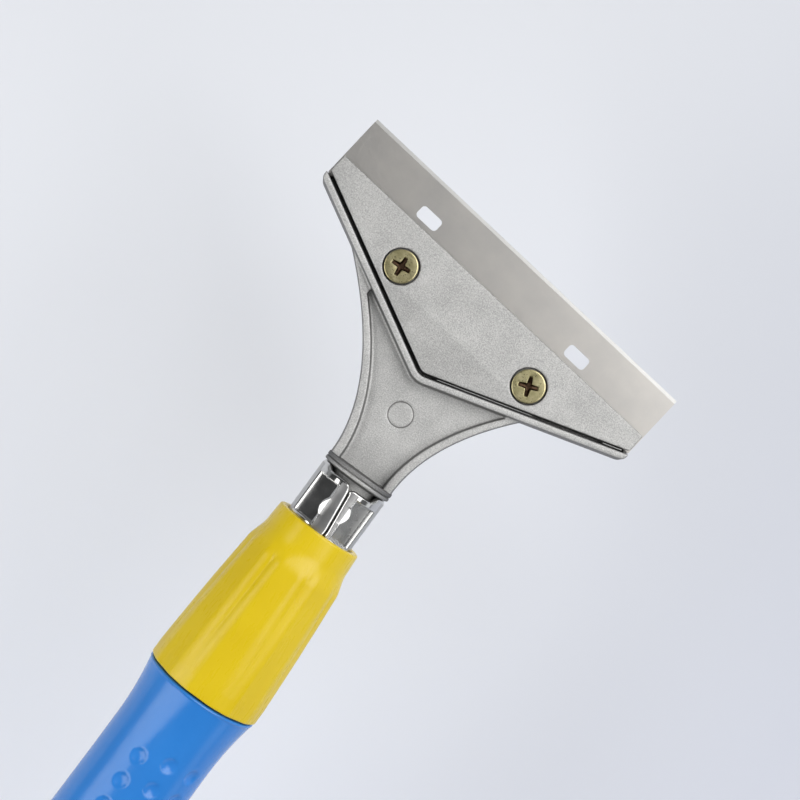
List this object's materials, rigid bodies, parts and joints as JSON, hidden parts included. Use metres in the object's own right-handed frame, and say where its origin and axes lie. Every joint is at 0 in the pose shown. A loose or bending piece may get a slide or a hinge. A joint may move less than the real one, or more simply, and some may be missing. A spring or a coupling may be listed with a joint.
{
  "type": "extendable scraper",
  "caption": "Telescoping hand scraper: wide blade clamped in a die-cast head, rolled tube, fluted twist-lock collar and moulded grip.",
  "frame": {"origin": "middle of the flat butt of the end cap, on the handle's axis", "axes": "+Y up the handle to the head, +Z out of the side on which the screws show, +X to the right seen from that side"},
  "size_m": [0.1015, 0.3369, 0.0306],
  "materials": {
    "cast_aluminium": "fine shot-blasted casting",
    "blade_steel": "ground strip steel",
    "yellow_zinc": "yellow-passivated zinc",
    "bright_tube": "bright plated sheet",
    "plain_tube": "plain drawn steel",
    "yellow_plastic": "satin-gloss moulded",
    "blue_plastic": "satin-gloss moulded",
    "natural_nylon": "natural moulded"
  },
  "bodies": {
    "handle": {"grip": "blue_plastic", "outer_tube": "plain_tube", "end_cap": "yellow_plastic", "threaded_sleeve": "natural_nylon", "clamp_ring": "natural_nylon"},
    "collar": {"lock_collar": "yellow_plastic"},
    "pole": {"head_casting": "cast_aluminium", "inner_tube": "bright_tube", "guide_bush": "natural_nylon", "bush_rivet": "plain_tube"},
    "clamp": {"clamp_plate": "cast_aluminium"},
    "left_screw": {"screw_left": "yellow_zinc"},
    "right_screw": {"screw_right": "yellow_zinc"},
    "cutter": {"blade": "blade_steel"}
  },
  "joints": [
    {"name": "pole_slide", "type": "slide", "parent": "handle", "child": "pole", "axis": [0, 1, 0], "range_m": [0, 0.154]},
    {"name": "collar_twist", "type": "hinge", "parent": "handle", "child": "collar", "pos_m": [0, 0.2246, 0], "axis": [0, 1, 0], "range_deg": [0, 90]},
    {"name": "clamp_lift", "type": "slide", "parent": "pole", "child": "clamp", "axis": [0, 0, 1], "range_m": [0, 0.0021]},
    {"name": "screw_left_turn", "type": "hinge", "parent": "clamp", "child": "left_screw", "pos_m": [-0.02165, 0.31122, 0], "axis": [0, 0, 1], "range_deg": [0, 1080]},
    {"name": "screw_right_turn", "type": "hinge", "parent": "clamp", "child": "right_screw", "pos_m": [0.02024, 0.30607, 0], "axis": [0, 0, 1], "range_deg": [0, 1080]},
    {"name": "blade_slide", "type": "slide", "parent": "pole", "child": "cutter", "axis": [0.1219, 0.9925, 0], "range_m": [0, 0.02]}
  ],
  "couplings": [
    {"joint": "screw_left_turn", "follows": "clamp_lift", "rad_per_m": 8975},
    {"joint": "screw_right_turn", "follows": "clamp_lift", "rad_per_m": 8975}
  ]
}
